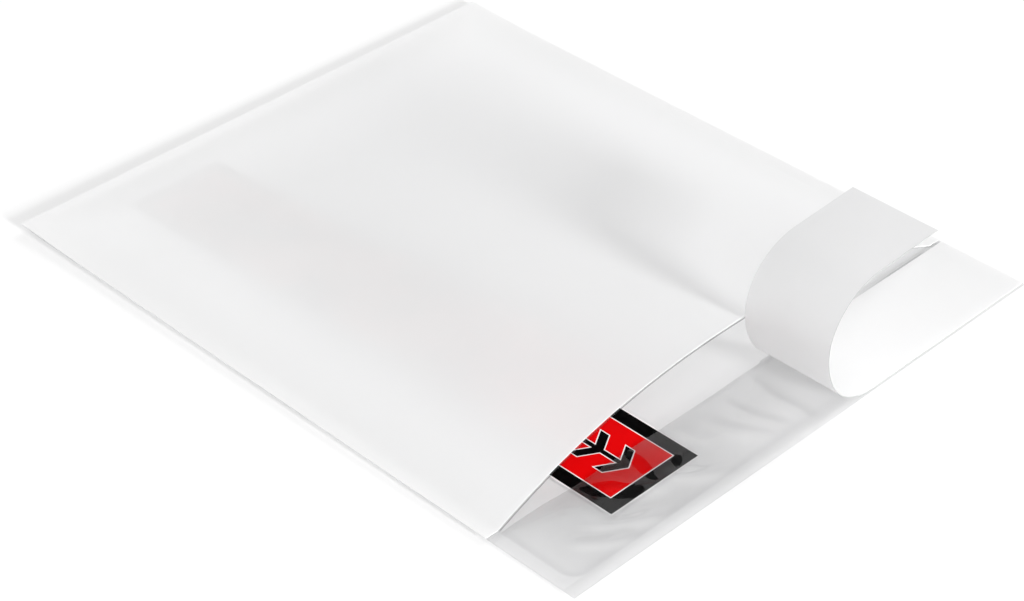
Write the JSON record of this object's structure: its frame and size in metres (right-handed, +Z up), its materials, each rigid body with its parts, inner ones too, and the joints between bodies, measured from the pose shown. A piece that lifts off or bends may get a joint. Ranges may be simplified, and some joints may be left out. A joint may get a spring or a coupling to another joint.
{
  "type": "packing list envelope",
  "caption": "Clear back-loading packing list envelope, adhesive side up, with a bowed open mouth, white release liner and a peeled liner strip curling over.",
  "frame": {"origin": "middle of the face film's underside, on the surface that the envelope lies on", "axes": "+Y along the length, from the mouth to the sealed far end; +X along the mouth, towards the end where the short liner is still stuck; +Z up, out of the adhesive side"},
  "size_m": [0.1142, 0.1396, 0.0254],
  "materials": {
    "clear_film": "clear glossy polyethylene film, 0.05 mm, slightly rippled",
    "liner_paper": "smooth matt white release paper",
    "liner_release_side": "white release paper with a faintly glossy, slightly greyer coated side",
    "red_print": "solid red ink on the inner side of clear film",
    "black_print": "solid black ink on the inner side of clear film"
  },
  "bodies": {
    "root": {"face_film": "clear_film", "back_film": "clear_film", "panel_liner": "liner_paper", "strip_liner": "liner_release_side", "print_border": "black_print", "print_arrow": "black_print", "print_field": "red_print"}
  },
  "joints": []
}
